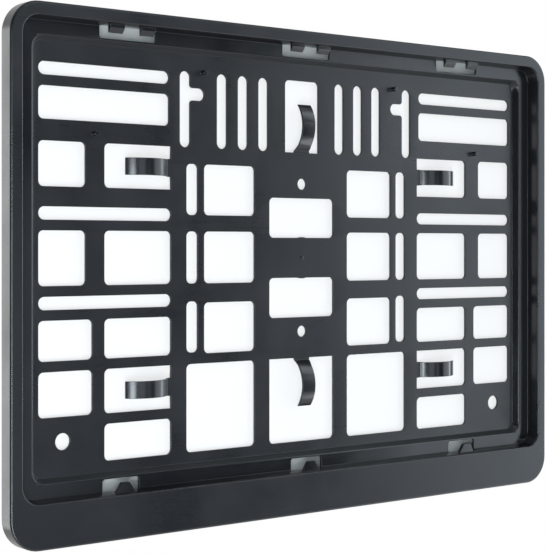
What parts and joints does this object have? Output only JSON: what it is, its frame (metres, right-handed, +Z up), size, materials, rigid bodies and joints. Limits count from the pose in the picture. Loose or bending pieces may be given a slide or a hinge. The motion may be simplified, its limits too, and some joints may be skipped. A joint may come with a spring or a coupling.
{
  "type": "number plate holder",
  "caption": "Rectangular frame with a stepped tray that screws to a car and holds a two-line number plate with snap hooks, tabs and moulded leaf springs.",
  "frame": {"origin": "mounting face, at the middle of the plate pocket", "axes": "+X along the plate to the viewer's right, +Y to the back (into the car), +Z up; the front faces -Y"},
  "size_m": [0.3564, 0.0123, 0.2514],
  "materials": {
    "holder": "satin black, fine moulded grain"
  },
  "bodies": {
    "root": {"plate_holder": "holder"}
  },
  "joints": []
}
